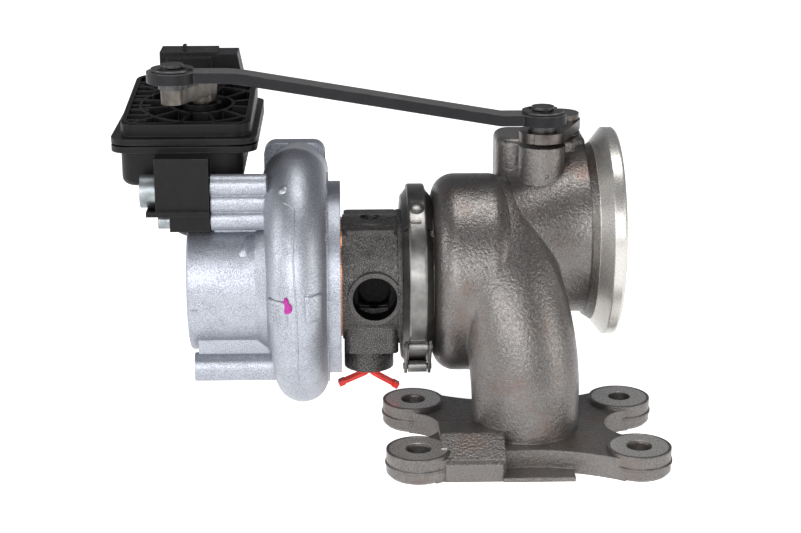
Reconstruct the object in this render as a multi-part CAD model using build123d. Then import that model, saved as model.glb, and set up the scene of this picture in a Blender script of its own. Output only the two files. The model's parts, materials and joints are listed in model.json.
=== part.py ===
from build123d import *
import math
import os

# Turbocharger with an electric wastegate actuator, in millimetres.
# Origin: centre of the four-bolt exhaust flange, on its gasket face. +X runs along the rotor to the
# turbine outlet, +Y to the back of the unit, where the compressor outlet points, and +Z up.

# ---- rotor axis and the planes along it ----
SHAFT_Y = 34.0
SHAFT_Z = 60.0
INLET_X = -130.5
BACKPLATE_FACE_X = -78.4
BACKPLATE_STEP_X = -73.6
BEARING_FACE_X = -70.8
SPIGOT_R = 38.5
VBAND_X = -41.0
DRUM_LEFT_X = -34.5
WHEEL_BACK_X = -31.0
OUTLET_X = 39.5
OUTLET_YZ = (44.0, 75.5)
JOURNAL_R = 3.0
STUB_R = 2.5
RUNNING_GAP = 0.05

# ---- exhaust flange ----
BOLT_X = 42.0
BOLT_Y = 26.0
BOLT_HOLE_R = 4.5
BOSS_R = 12.25
BOSS_TOP = 10.2
WEB_TOP = 8.8
SIDE_WAIST_R = 14.3
END_WAIST_R = 66.0
WAIST_BITE = 0.15

# ---- wastegate linkage ----
SPINDLE_XY = (18.3, 54.0)
ACTUATOR_XY = (-125.7, 54.0)
CRANK_DX = -9.5
CRANK_DY = -22.0
VALVE_PIN_XY = (SPINDLE_XY[0] + CRANK_DX, SPINDLE_XY[1] + CRANK_DY)
ACTUATOR_PIN_XY = (ACTUATOR_XY[0] + CRANK_DX, ACTUATOR_XY[1] + CRANK_DY)
VALVE_LEVER_Z = 116.0
ACTUATOR_LEVER_Z = 131.6
ROD_THICK = 4.2
ROD_LOW_Z = 122.7
ROD_HIGH_Z = 140.2
PIN_R = 3.0
PIN_CLEARANCE = 0.08
FLAP_CENTRE = (10.0, 34.0, 87.0)
FLAP_R = 10.5
SPINDLE_R = 3.5

# ---- compressor outlet ----
DUCT_X = -88.3
DUCT_Z = SHAFT_Z + 40.3
DUCT_FALL = 0.17
OUTLET_FLANGE_Y = 86.0
OUTLET_SCREWS = ((-96.2, 74.0), (-82.8, 74.0))

# ---- actuator ----
# y, z and radius of the two screws that hold the actuator
ACTUATOR_SCREWS = ((16.4, 100.6, 2.5), (16.4, 88.8, 2.0))
RIM_Z = 117.0
BODY_X = (-155.8, -108.5)
BODY_Y = (23.0, 97.0)
RIM_X = (-159.2, -102.8)
RIM_Y = (20.0, 100.5)
LID_X = (-155.8, -105.1)
LID_Y = (25.0, 96.0)
LID_FRONT_Z = 125.0
LID_RISE = 0.085
FLOOR_Z = 100.5
GEAR_MODULE = 0.8
PINION_TEETH = 10
LARGE_TEETH = 28
SMALL_TEETH = 12
SECTOR_TEETH = 50
IDLER_HEADING = 126.6
MOTOR_HEADING = 31.2


def polar(start, distance, heading):
    """The point at a distance and a heading in degrees from another, in plan."""
    turn = math.radians(heading)
    return (start[0] + distance * math.cos(turn), start[1] + distance * math.sin(turn))


IDLER_XY = polar(ACTUATOR_XY, GEAR_MODULE * (SECTOR_TEETH + SMALL_TEETH) / 2, IDLER_HEADING)
MOTOR_XY = polar(IDLER_XY, GEAR_MODULE * (LARGE_TEETH + PINION_TEETH) / 2, MOTOR_HEADING)


# ---------------------------------------------------------------- helpers
def turned(outline, y=SHAFT_Y, z=SHAFT_Z):
    """A solid of revolution about the X axis through (y, z). The outline is (x, radius) points."""
    face = make_face(Plane.XZ * Polyline(*outline, close=True))
    return Pos(0, y, z) * revolve(face, Axis.X)


def along_x(radius, x0, x1, y=SHAFT_Y, z=SHAFT_Z):
    """A cylinder parallel to the rotor."""
    return Pos((x0 + x1) / 2, y, z) * Rot(0, 90, 0) * Cylinder(radius, abs(x1 - x0))


def along_y(radius, y0, y1, x, z):
    """A cylinder parallel to Y."""
    return Pos(x, (y0 + y1) / 2, z) * Rot(90, 0, 0) * Cylinder(radius, abs(y1 - y0))


def upright(radius, z0, z1, xy):
    """A vertical cylinder."""
    return Pos(xy[0], xy[1], (z0 + z1) / 2) * Cylinder(radius, z1 - z0)


def block(x, y, z, corner=0.0):
    """A box between pairs of coordinates, its vertical edges rounded by corner."""
    size = (x[1] - x[0], y[1] - y[0], z[1] - z[0])
    middle = ((x[0] + x[1]) / 2, (y[0] + y[1]) / 2, (z[0] + z[1]) / 2)
    solid = Box(*size)
    if corner:
        solid = fillet(solid.edges().filter_by(Axis.Z), corner)
    return Pos(*middle) * solid


def upright_tube(outer, inner, z0, z1, xy):
    return upright(outer, z0, z1, xy) - upright(inner, z0 - 1, z1 + 1, xy)


def hexagon(across_flats, x0, x1, y, z):
    """A hexagonal prism parallel to the rotor."""
    profile = RegularPolygon(across_flats / 2, 6, major_radius=False)
    prism = extrude(profile, x1 - x0)
    return Pos(x0, y, z) * Rot(0, 90, 0) * prism


def capsule(start, end, r_start, r_end, z0, z1):
    """A plate with round ends of two radii, between two points in plan."""
    (ax, ay), (bx, by) = start, end
    length = math.hypot(bx - ax, by - ay)
    lean = math.acos((r_start - r_end) / length)
    heading = math.atan2(by - ay, bx - ax)
    corners = []
    for (cx, cy), radius, side in (
        (start, r_start, 1),
        (end, r_end, 1),
        (end, r_end, -1),
        (start, r_start, -1),
    ):
        angle = heading + side * lean
        corners.append((cx + radius * math.cos(angle), cy + radius * math.sin(angle)))
    web = make_face(Polyline(*corners, close=True))
    plate = extrude(web, z1 - z0)
    plate = Pos(0, 0, z0) * plate
    return plate + upright(r_start, z0, z1, start) + upright(r_end, z0, z1, end)


def gear(teeth, z0, z1, xy, phase=0.0, sweep=360.0):
    """A spur gear. phase is the direction in degrees of one tooth, sweep the arc that has teeth."""
    pitch = GEAR_MODULE * teeth / 2
    tip, root = pitch + 0.5, pitch - 0.95
    step = 360.0 / teeth
    half_tip, half_root = step * 0.11, step * 0.26
    blank = upright(root, z0, z1, (0, 0))
    low = root - 0.4
    corners = ((low, -half_root), (tip, -half_tip), (tip, half_tip), (low, half_root))
    tooth_points = [polar((0, 0), radius, angle) for radius, angle in corners]
    tooth = Pos(0, 0, z0) * extrude(make_face(Polyline(*tooth_points, close=True)), z1 - z0)
    count = teeth if sweep >= 360 else int(sweep / step) + 1
    first = phase if sweep >= 360 else phase - step * (count // 2)
    solids = [Rot(0, 0, first + step * i) * tooth for i in range(count)]
    return Pos(xy[0], xy[1], 0) * (blank + solids)


def e_clip(z, xy, facing):
    """A snap ring of 0.8 mm sheet, open on one side, with its two shoulders."""
    ring = upright_tube(8.2, PIN_R - 0.5, z, z + 0.8, (0, 0))
    gap = Pos(6, 0, z) * Box(12, 4.2, 4)
    relief = upright(2.2, z - 1, z + 2, (-1.5, 4.7)) + upright(2.2, z - 1, z + 2, (-1.5, -4.7))
    return Pos(xy[0], xy[1], 0) * Rot(0, 0, facing) * (ring - gap - relief)


def screw_x(head_r, head, shank_r, x0, x1, y, z, socket):
    """A cap screw parallel to the rotor, its head on the low-X side of x0."""
    body = along_x(head_r, x0 - head, x0, y, z) + along_x(shank_r, x0, x1, y, z)
    return body - hexagon(socket, x0 - head - 0.1, x0 - head * 0.45, y, z)


# ---------------------------------------------------------------- turbine housing
def waist_centre(radius, along, across):
    """How far from the middle a waist circle is centred that just bites two bosses, along and across."""
    return along + math.sqrt((BOSS_R + radius - WAIST_BITE) ** 2 - across**2)


def touch(boss, centre):
    """Where a boss meets the waist circle round a centre."""
    apart = math.dist(boss, centre)
    return tuple(b + (c - b) * BOSS_R / apart for b, c in zip(boss, centre))


def flange():
    """Four bosses joined by a web with concave sides, and the pad at its front."""
    side = (waist_centre(SIDE_WAIST_R, BOLT_X, BOLT_Y), 0)
    end = (0, waist_centre(END_WAIST_R, BOLT_Y, BOLT_X))
    quarter = [touch((BOLT_X, BOLT_Y), side), (BOLT_X, BOLT_Y), touch((BOLT_X, BOLT_Y), end)]
    half = quarter + [(-x, y) for x, y in reversed(quarter)]
    outline = half + [(x, -y) for x, y in reversed(half)]
    corners = extrude(make_face(Polyline(*outline, close=True)), WEB_TOP)
    for way in (-1, 1):
        corners -= upright(SIDE_WAIST_R, -1, 20, (way * side[0], 0))
        corners -= upright(END_WAIST_R, -1, 20, (0, way * end[1]))
    bottom = BOSS_R - 1.2
    for x in (-BOLT_X, BOLT_X):
        for y in (-BOLT_Y, BOLT_Y):
            boss = upright(BOSS_R, 1.4, BOSS_TOP, (x, y)) + Pos(x, y, 0.7) * Cone(bottom, BOSS_R, 1.4)
            boss += upright(BOSS_R + 0.45, 4.4, 5.4, (x, y))
            corners += boss
    ramp = [(-35.0, 0), (-35.0, 6.8), (-33.6, 8.4), (-19.0, 13.4), (-8.0, 13.4), (-8.0, 0)]
    ramp = Polyline(*ramp, close=True)
    pad = Pos(-9.0, 0, 0) * extrude(make_face(Plane.YZ * ramp), 24.5)
    pad = chamfer(pad.edges().filter_by(Axis.Z).group_by(Axis.Y)[0], 1.6)
    flash = block((-10.4, 16.9), (-35.7, -20.0), (0, 1.7))
    return corners + pad + flash


def neck_root():
    """Concave blend from the flange's web up to the gas inlet."""
    outer, low, radius = 27.9, 8.3, 8.5
    slant = radius * (1 - math.cos(math.radians(45)))
    inner, high = outer - radius, low + radius
    hollow = ThreePointArc((outer, low), (inner + slant, low + slant), (inner, high))
    rest = Polyline((inner, high), (0, high), (0, low), (outer, low))
    return Pos(0.8, 0, 0) * revolve(make_face(Plane.XZ * (hollow + rest)), Axis.Z)


def inlet_sections(inner):
    """Cross-sections of the gas inlet, from the flange up and back into the scroll."""
    stations = (
        # height, x, y, half width, half depth, backward lean
        (0.0, 0.8, 0.0, 21.0, 21.0, 0),
        (22.0, 0.8, 0.0, 21.0, 20.0, 0),
        (42.0, -1.0, 2.0, 21.5, 18.5, 10),
        (60.0, -4.5, 7.5, 21.5, 16.5, 24),
        (78.0, -9.0, 18.0, 20.5, 14.0, 42),
        (91.0, -13.5, 33.0, 17.5, 11.0, 68),
    )
    faces = []
    for z, x, y, wide, deep, lean in stations:
        if inner:
            wide, deep = wide - 5.5 - z * 0.035, deep - 5.0 - z * 0.01
        if inner and z > 85:
            continue
        tilt = math.radians(lean)
        plane = Plane((x, y, z), x_dir=(1, 0, 0), z_dir=(0, math.sin(tilt), math.cos(tilt)))
        faces.append(plane * Ellipse(wide, deep))
    return loft(faces)


def outlet_bell(wall):
    """The turbine outlet chamber, offset towards the valve: its outside, or its cavity by wall."""
    stations = (
        # x, y, z, outside radius
        (-4.0 + wall * 0.6, 38.0, 69.5, 31.0),
        (8.0, 40.5, 72.5, 32.5),
        (20.0, *OUTLET_YZ, 33.0),
        (31.0, *OUTLET_YZ, 34.0),
    )
    faces = []
    for x, y, z, radius in stations:
        plane = Plane((x, y, z), x_dir=(0, 1, 0), z_dir=(1, 0, 0))
        faces.append(plane * Circle(radius - wall))
    return loft(faces)


def flap_frame():
    """Plane of the valve seat: its normal points from the port into the outlet chamber."""
    return Plane(FLAP_CENTRE, x_dir=(0, 0, 1), z_dir=(0.9205, -0.3908, 0))


def from_seat(radius, low, high):
    """A cylinder along the valve axis, between two distances from the seat."""
    return flap_frame() * Pos(0, 0, (low + high) / 2) * Cylinder(radius, high - low)


def turbine_outside():
    drum = along_x(39.5, DRUM_LEFT_X, -3.0, SHAFT_Y, 61.7)
    drum = fillet(drum.edges().filter_by(GeomType.CIRCLE), 9.0)
    inlet = inlet_sections(False) + neck_root()
    body = drum + inlet + flange() + outlet_bell(0.0)
    vflange = turned(
        [
            (VBAND_X, 0), (VBAND_X, 34), (VBAND_X + 3, 34), (VBAND_X + 5, 31.57), (VBAND_X + 5, 30),
            (-30, 30), (-30, 0),
        ]
    )
    rim = turned(
        [(27, 30), (27, 34), (30, 36), (34.8, 42), (38.6, 42), (OUTLET_X, 41.2), (OUTLET_X, 30)],
        *OUTLET_YZ,
    )
    chamber = block((-8.0, 28.0), (42.0, 68.0), (84.0, 114.0), 7.0)
    chamber = fillet(chamber.edges().group_by(Axis.Z)[-1], 3.0)
    tower = upright(9.2, 84.0, 114.2, VALVE_PIN_XY)
    boss = upright(8.2, 97.0, 114.6, SPINDLE_XY)
    return body + vflange + rim + chamber + tower + boss


def scroll_passage():
    """Gas passage round the wheel, its section shrinking from the inlet at the top."""
    faces = []
    for step in range(12):
        turn = math.radians(20 + step * 28)
        radius = 7.6 - step * 0.42
        centre = 20.3 + radius
        y = SHAFT_Y - centre * math.sin(turn)
        z = SHAFT_Z + centre * math.cos(turn)
        plane = Plane(
            (-19.5 - 0.3 * step, y, z), x_dir=(1, 0, 0), z_dir=(0, -math.cos(turn), -math.sin(turn))
        )
        faces.append(plane * Circle(radius))
    return loft(faces)


def turbine_housing():
    body = turbine_outside()
    body -= outlet_bell(4.5)
    body -= turned(
        [(20, 0), (20, 29), (33, 30), (38.0, 36.5), (OUTLET_X + 1, 37.5), (OUTLET_X + 1, 0)], *OUTLET_YZ
    )
    body -= inlet_sections(True)
    body -= upright(16.5, -1, 6, (0.8, 0))
    body -= scroll_passage()
    body -= turned([(-42, 0), (-42, 27.3), (-40.1, 27.3), (-40.1, 24.6), (-31.2, 24.6), (-31.2, 0)])
    body -= turned(
        [
            (-31.5, 0), (-31.5, 27.0), (-25.4, 27.0), (-25.4, 20.9), (-19.0, 17.3), (-12.0, 16.3),
            (-1.0, 16.3), (-1.0, 0),
        ]
    )
    body += from_seat(12.0, -19.0, 0.0) & block((-10.0, 20.0), (15.0, 60.0), (70.0, 100.0))
    body -= from_seat(8.2, -31.0, 1.0)
    body -= upright(5.5, 90.0, 116.0, SPINDLE_XY)
    for x in (-BOLT_X, BOLT_X):
        for y in (-BOLT_Y, BOLT_Y):
            body -= upright(BOLT_HOLE_R, -1, 12, (x, y))
            if (x, y) != (BOLT_X, BOLT_Y):
                body -= Pos(x, y, BOSS_TOP - 0.3) * Cone(BOLT_HOLE_R, BOLT_HOLE_R + 0.6, 0.6 + 0.001)
    return body


# ---------------------------------------------------------------- wastegate
def wastegate_bush():
    bush = upright_tube(5.5, SPINDLE_R + RUNNING_GAP, 98.5, 114.6, SPINDLE_XY)
    return bush + upright_tube(6.4, SPINDLE_R + RUNNING_GAP, 114.6, 115.4, SPINDLE_XY)


def wastegate_spindle():
    return upright(SPINDLE_R, 80.0, 122.4, SPINDLE_XY)


def wastegate_arm():
    """Cranked arm on the spindle, reaching behind the flap; the spindle passes through its hub."""
    normal = flap_frame().z_dir
    tip = (FLAP_CENTRE[0] + normal.X * 8.5, FLAP_CENTRE[1] + normal.Y * 8.5)
    arm = capsule(SPINDLE_XY, tip, 6.6, 4.2, 82.0, 92.0)
    arm += upright(6.6, 80.5, 95.8, SPINDLE_XY)
    arm -= upright(SPINDLE_R, 70.0, 100.0, SPINDLE_XY)
    arm -= from_seat(12.6, -20.0, 4.6)
    arm -= from_seat(9.0, 10.0, 20.0)
    return (arm + from_seat(5.6, 4.6, 10.0)) - from_seat(3.1, 0.0, 20.0)


def wastegate_flap():
    return from_seat(FLAP_R, 0.15, 4.0) + from_seat(3.0, 4.0, 13.0)


def flap_washer():
    return from_seat(5.6, 10.1, 11.9) - from_seat(3.0, 9.0, 13.0)


def wastegate_lever():
    top = VALVE_LEVER_Z + 4.0
    plate = capsule(VALVE_PIN_XY, SPINDLE_XY, 9.2, 8.2, VALVE_LEVER_Z, top)
    hub = upright(7.6, top, top + 2.4, SPINDLE_XY)
    notch = Pos(VALVE_PIN_XY[0] - 5.0, VALVE_PIN_XY[1] - 9.0, 118.0) * Box(2.2, 3.0, 8.0)
    lever = plate + hub - notch
    return lever - upright(SPINDLE_R, 110, 130, SPINDLE_XY) - upright(PIN_R, 110, 130, VALVE_PIN_XY)


def link_pin(z_foot, z_shoulder, z_rod, xy):
    """Riveted pin: shank through the lever, collar under the rod, journal, groove and head."""
    rod_top = z_rod + ROD_THICK
    pin = upright(PIN_R, z_foot, rod_top + 2.6, xy) + upright(5.6, z_shoulder, z_rod - 0.3, xy)
    groove = upright_tube(6.0, PIN_R - 0.5, rod_top + 0.35, rod_top + 1.25, xy)
    pin = pin - groove + upright(4.4, rod_top + 1.6, rod_top + 2.8, xy)
    return pin


def valve_pin():
    return link_pin(VALVE_LEVER_Z - 0.6, VALVE_LEVER_Z + 4.0, ROD_LOW_Z, VALVE_PIN_XY)


def actuator_pin():
    return link_pin(ACTUATOR_LEVER_Z - 0.4, ACTUATOR_LEVER_Z + 6.0, ROD_HIGH_Z, ACTUATOR_PIN_XY)


def link_rod():
    """Flat steel rod with an eye at each end and a joggle down towards the valve."""
    ax, y = ACTUATOR_PIN_XY
    bx = VALVE_PIN_XY[0]
    low, high, thick = ROD_LOW_Z, ROD_HIGH_Z, ROD_THICK
    left_bend, right_bend = ax + 23.0, bx - 17.0
    side = Polyline(
        (ax, high), (left_bend, high), (right_bend, low), (bx, low),
        (bx, low + thick), (right_bend + 1.0, low + thick), (left_bend + 1.0, high + thick),
        (ax, high + thick),
        close=True,
    )
    bar = Pos(0, y + 5.2, 0) * extrude(make_face(Plane.XZ * side), 10.4)
    bend_edges = bar.edges().filter_by(Axis.Y).filter_by_position(Axis.X, left_bend - 2, left_bend + 2)
    bar = fillet(bend_edges, 60.0)
    eye_a = upright(10.0, high, high + thick, ACTUATOR_PIN_XY)
    eye_b = upright(9.4, low, low + thick, VALVE_PIN_XY)
    rod = bar + eye_a + eye_b
    rod -= upright(PIN_R + PIN_CLEARANCE, high - 5, high + 9, ACTUATOR_PIN_XY)
    return rod - upright(PIN_R + PIN_CLEARANCE, low - 5, low + 9, VALVE_PIN_XY)


# ---------------------------------------------------------------- rotor
def blade(stations, thick):
    """A twisted blade from stations of (x, inner radius, outer radius, angle in degrees)."""
    faces = []
    for x, inner, outer, angle in stations:
        height = outer - inner
        plane = Plane((x, 0, 0), x_dir=(0, 1, 0), z_dir=(1, 0, 0))
        faces.append(plane * Rot(0, 0, angle) * Pos(inner + height / 2, 0) * Rectangle(height, thick))
    return loft(faces, ruled=True)


def bladed_wheel(hub, stations, thick, count):
    wheel = hub
    one = Pos(0, SHAFT_Y, SHAFT_Z) * blade(stations, thick)
    axis = Axis((0, SHAFT_Y, SHAFT_Z), (1, 0, 0))
    return wheel + [one.rotate(axis, 360.0 * i / count) for i in range(count)]


def compressor_wheel():
    hub = turned(
        [
            (-78.8, STUB_R), (-78.8, 23.2), (-79.6, 23.2), (-81.5, 17.0), (-86.0, 10.5), (-92.0, 7.4),
            (-99.0, 6.2), (-99.0, STUB_R),
        ]
    )
    # stations of each blade: x, inner radius, outer radius, turn about the shaft
    main = [
        (-79.2, 18.0, 23.4, 74), (-81.9, 14.5, 23.3, 62), (-86.0, 9.5, 19.7, 44), (-91.0, 7.0, 17.6, 22),
        (-96.0, 6.0, 17.4, 0),
    ]
    split = [
        (-79.2, 18.0, 23.4, 104), (-81.9, 14.5, 23.3, 92), (-86.0, 9.5, 19.7, 74), (-90.0, 7.2, 17.8, 56),
    ]
    wheel = bladed_wheel(hub, main, 0.9, 6)
    return bladed_wheel(wheel, split, 0.9, 6)


def turbine_wheel():
    hub = turned(
        [
            (-32.5, 0), (-32.5, 7.0), (WHEEL_BACK_X, 8.5), (WHEEL_BACK_X, 18.5), (-30.2, 18.5), (-26.0, 11.5),
            (-18.0, 7.2), (-10.0, 6.0), (-6.5, 5.4), (-5.5, 4.0), (-5.5, 0),
        ]
    )
    stations = [
        (-30.8, 15.0, 20.4, 0), (-25.7, 10.0, 20.2, -6), (-20.0, 7.2, 17.0, -18), (-15.0, 6.0, 16.0, -34),
        (-11.0, 5.5, 15.9, -52),
    ]
    return bladed_wheel(hub, stations, 1.1, 9)


def rotor_shaft():
    """Stub for the compressor wheel, two journals with a relieved middle, and the seal hub."""
    return turned(
        [
            (-104.6, 0), (-104.6, 2.1), (-104.2, STUB_R), (-66.0, STUB_R), (-66.0, JOURNAL_R),
            (-61.0, JOURNAL_R), (-60.5, 2.7), (-53.5, 2.7), (-53.0, JOURNAL_R), (-46.5, JOURNAL_R),
            (-44.5, 4.5), (-44.5, 7.0),
            (-39.6, 7.0), (-39.6, 5.6), (-38.2, 5.6), (-38.2, 7.0), (-32.5, 7.0), (-32.5, 0),
        ]
    )


def shaft_nut():
    return hexagon(9.0, -103.2, -99.0, SHAFT_Y, SHAFT_Z) - along_x(STUB_R, -110, -90)


def thrust_washer():
    return along_x(6.0, -68.1, -66.0) - along_x(STUB_R, -70, -60)


def thrust_bearing():
    plate = along_x(13.2, -70.5, -68.3) - along_x(4.6, -75, -60)
    return plate - along_y(0.7, SHAFT_Y - 20, SHAFT_Y + 20, -69.4, SHAFT_Z + 9.0)


def oil_flinger():
    """Sleeve and disc that sling oil away from the seal; its groove holds the sealing ring."""
    sleeve = turned(
        [
            (-68.1, STUB_R), (-68.1, 4.5), (-70.7, 4.5), (-70.7, 8.2), (-72.2, 8.2), (-72.8, 6.2),
            (-75.7, 6.2), (-75.7, 4.8), (-77.2, 4.8), (-77.2, 6.2), (-78.8, 6.2), (-78.8, STUB_R),
        ]
    )
    return sleeve


def seal_ring(x, outer, inner):
    """A split cast-iron ring that grips the bore and stands still in the turning groove."""
    ring = along_x(outer, x, x + 1.0) - along_x(inner, x - 1, x + 2)
    return ring - Pos(x, SHAFT_Y, SHAFT_Z + outer) * Box(4, 0.5, 6)


def compressor_seal_ring():
    return seal_ring(-76.95, 6.5, 5.0)


def turbine_seal_ring():
    return seal_ring(-39.4, 7.3, 5.8)


# ---------------------------------------------------------------- centre section
def bearing_housing():
    core = along_x(25.0, BEARING_FACE_X + 0.6, -47.5)
    top = block((-69.6, -48.2), (20.0, 52.0), (60.0, 83.0), 2.0)
    side = block((-69.6, -48.2), (14.0, 50.0), (34.0, 72.0), 3.0)
    drain = upright(10.0, 22.5, 50.0, (-59.7, SHAFT_Y))
    neck = along_x(27.0, -48.5, VBAND_X - 5)
    vflange = turned([(VBAND_X - 5, 0), (VBAND_X - 5, 31.57), (VBAND_X - 3, 34), (VBAND_X, 34), (VBAND_X, 0)])
    nose = along_x(12.0, VBAND_X, -36.0)
    port = along_y(10.6, 8.0, 30.0, -57.6, 58.5)
    port_rear = along_y(10.6, 40.0, 62.0, -57.6, 58.5)
    cap = upright(8.2, 80.0, 84.2, (-59.0, SHAFT_Y))
    body = core + top + side + drain + neck + vflange + nose + port + port_rear + cap
    body -= along_x(5.5 + RUNNING_GAP, -72, -46.4)
    body -= along_x(7.3, -46.6, -30)
    body -= along_x(13.3, -75, -65.8)
    body -= upright(6.4, 15.0, 54.0, (-59.7, SHAFT_Y))
    body -= upright(4.0, 70.4, 90.0, (-59.0, SHAFT_Y)) + upright(2.0, 60.0, 72.0, (-59.0, SHAFT_Y))
    for y0, y1 in ((7.0, 17.0), (53.0, 63.0)):
        body -= along_y(8.6, y0, y1, -57.6, 58.5)
    body -= along_y(6.3, 7.0, 24.0, -57.6, 58.5)
    body -= along_y(6.3, 44.0, 63.0, -57.6, 58.5)
    jacket = turned([(-64.0, 12.5), (-64.0, 20.0), (-52.0, 20.0), (-52.0, 12.5)])
    jacket -= block((-70, -45), (SHAFT_Y - 11, SHAFT_Y + 11), (20, 50))
    jacket -= block((-70, -45), (SHAFT_Y - 6, SHAFT_Y + 6), (60, 90))
    body -= jacket + upright(1.2, 60.0, 70.0, (-63.5, SHAFT_Y))
    for y, z in plate_screw_places():
        body -= along_x(2.5, -75, BEARING_FACE_X + 5.8, y, z)
    return body


def journal_bearing():
    tube = along_x(5.5, -65.6, -46.8) - along_x(JOURNAL_R + RUNNING_GAP, -70, -40)
    tube -= turned([(-60.6, 2), (-60.6, 3.9), (-53.4, 3.9), (-53.4, 2)])
    for turn in range(4):
        hole = along_y(0.9, SHAFT_Y + 2, SHAFT_Y + 7, -49.5, SHAFT_Z)
        tube -= hole.rotate(Axis((0, SHAFT_Y, SHAFT_Z), (1, 0, 0)), 45 + 90 * turn)
    return tube - upright(1.2, 60.0, 70.0, (-63.5, SHAFT_Y))


def bearing_pin():
    return upright(1.2, 64.2, 69.8, (-63.5, SHAFT_Y))


def backplate():
    plate = turned(
        [
            (BACKPLATE_FACE_X, 6.5), (BACKPLATE_FACE_X, 35.9), (BACKPLATE_STEP_X, 35.9),
            (BACKPLATE_STEP_X, 32.0),
            (BEARING_FACE_X, 32.0), (BEARING_FACE_X, 10.0), (-74.6, 10.0), (-74.6, 6.5),
        ]
    )
    groove = turned([(-76.8, 34.4), (-76.8, 37), (-75.2, 37), (-75.2, 34.4)])
    plate -= groove
    for y, z in plate_screw_places():
        plate -= along_x(2.5, -80, -70, y, z)
        plate -= along_x(4.4, BACKPLATE_FACE_X - 1, -74.9, y, z)
    return plate


def plate_screw_places():
    """Three screws hold the backplate on the bearing housing."""
    return [
        (SHAFT_Y + 18.0 * math.cos(math.radians(a)), SHAFT_Z + 18.0 * math.sin(math.radians(a)))
        for a in (90, 210, 330)
    ]


def backplate_screws():
    return [screw_x(4.2, 3.2, 2.5, -74.9, BEARING_FACE_X + 5.6, y, z, 3.0) for y, z in plate_screw_places()]


def backplate_o_ring():
    return Pos(-76.0, SHAFT_Y, SHAFT_Z) * Rot(0, 90, 0) * Torus(35.18, 0.75)


def retaining_ring():
    """Internal snap ring that holds the backplate in the compressor housing."""
    ring = along_x(SPIGOT_R - 1.3, -73.4, -72.0) - along_x(33.4, -75, -70)
    gap = Pos(-72.7, SHAFT_Y + 36.0, SHAFT_Z) * Box(4, 12, 9.0)
    return ring - gap


def backplate_gasket():
    ring = along_x(24.0, BEARING_FACE_X, BEARING_FACE_X + 0.6) - along_x(13.4, -75, -60)
    for y, z in plate_screw_places():
        ring -= along_x(2.6, -75, -60, y, z)
    return ring


def heat_shield():
    return turned(
        [
            (-33.6, 9.0), (-33.6, 19.5), (-40.2, 23.2), (-40.2, 24.0), (VBAND_X, 24.0), (VBAND_X, 27.0),
            (-40.2, 27.0), (-40.2, 24.4), (-39.6, 24.2), (-32.8, 20.2), (-32.8, 9.0),
        ]
    )


# ---------------------------------------------------------------- clamp
# Turns about the rotor axis are degrees from straight up towards the back.
BOLT_TURN = 77.0
HINGE_TURN = 230.0
STRAP_IN = 35.75
STRAP_OUT = 37.2
STRAP_HALF = 3.7
LOOP_R = 39.5
LOOP_SIDE = 12.5
HINGE_R = 37.4
HINGE_SIDE = 7.5


def turned_back(shape, turn):
    """Moves a shape made at the top of the clamp round towards the back."""
    return shape.rotate(Axis((0, SHAFT_Y, SHAFT_Z), (1, 0, 0)), -turn)


def clamp_cross(radius, half_width, side, height):
    """A cylinder across the clamp, made at its top."""
    return along_x(radius, VBAND_X - half_width, VBAND_X + half_width, SHAFT_Y + side, SHAFT_Z + height)


def clamp_segments():
    """Three V-shaped retainers that draw the two conical flanges together."""
    half = [(3.4, 35.67), (6.0, 32.5), (5.2, 31.6), (2.7, 34.6)]
    outline = half + [(-x, r) for x, r in reversed(half)]
    ring = turned([(VBAND_X + x, r) for x, r in outline])
    slot = Pos(VBAND_X, SHAFT_Y, SHAFT_Z + 34) * Box(20, 3.0, 12)
    for turn in (BOLT_TURN, BOLT_TURN + 120, BOLT_TURN + 240):
        ring -= turned_back(slot, turn)
    return ring


def clamp_strap(start, end):
    """One of the two outer bands, between two turns, with its bolt loop and its hinge eye."""
    gap = 14.0
    thickness = STRAP_OUT - STRAP_IN
    section = Pos(VBAND_X, 0, STRAP_IN + thickness / 2) * Rot(90, 0, 0) * Rectangle(2 * STRAP_HALF, thickness)
    section = fillet(section.vertices().group_by(Axis.Z)[-1], 1.1)
    band = Pos(0, SHAFT_Y, SHAFT_Z) * revolve(section, Axis.X, revolution_arc=end - start - 2 * gap)
    band = turned_back(band, end - gap)
    bolt_side = LOOP_SIDE if start == BOLT_TURN else -LOOP_SIDE
    hinge_side = -HINGE_SIDE if start == BOLT_TURN else HINGE_SIDE
    band += turned_back(clamp_cross(5.2, STRAP_HALF, bolt_side, LOOP_R), BOLT_TURN)
    band += turned_back(clamp_cross(2.4, STRAP_HALF, hinge_side, HINGE_R), HINGE_TURN)
    band -= turned_back(clamp_cross(3.4, 9.0, bolt_side, LOOP_R), BOLT_TURN)
    band -= turned_back(clamp_cross(1.3, 9.0, hinge_side, HINGE_R), HINGE_TURN)
    opening = Pos(VBAND_X, SHAFT_Y, SHAFT_Z + STRAP_OUT + 5) * Box(5.2, 37.0, 10.0)
    return band - along_x(STRAP_IN, VBAND_X - 9, VBAND_X + 9) - turned_back(opening, BOLT_TURN)


def clamp_strap_front():
    return clamp_strap(HINGE_TURN - 360.0, BOLT_TURN)


def clamp_strap_back():
    return clamp_strap(BOLT_TURN, HINGE_TURN)


def clamp_trunnions():
    """Two cross pins in the strap's loops; the bolt passes through both."""
    pins = []
    for side in (-LOOP_SIDE, LOOP_SIDE):
        pin = clamp_cross(3.3, 4.6, side, LOOP_R) - along_y(2.1, 0, 80, VBAND_X, SHAFT_Z + LOOP_R)
        pins.append(turned_back(pin, BOLT_TURN))
    return pins


def clamp_bolt():
    bolt = along_y(2.0, SHAFT_Y - 17.5, SHAFT_Y + 29.0, VBAND_X, SHAFT_Z + LOOP_R)
    bolt += Pos(VBAND_X, SHAFT_Y - 18.0, SHAFT_Z + LOOP_R + 0.3) * Box(4.8, 3.0, 4.8)
    return turned_back(bolt, BOLT_TURN)


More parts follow.
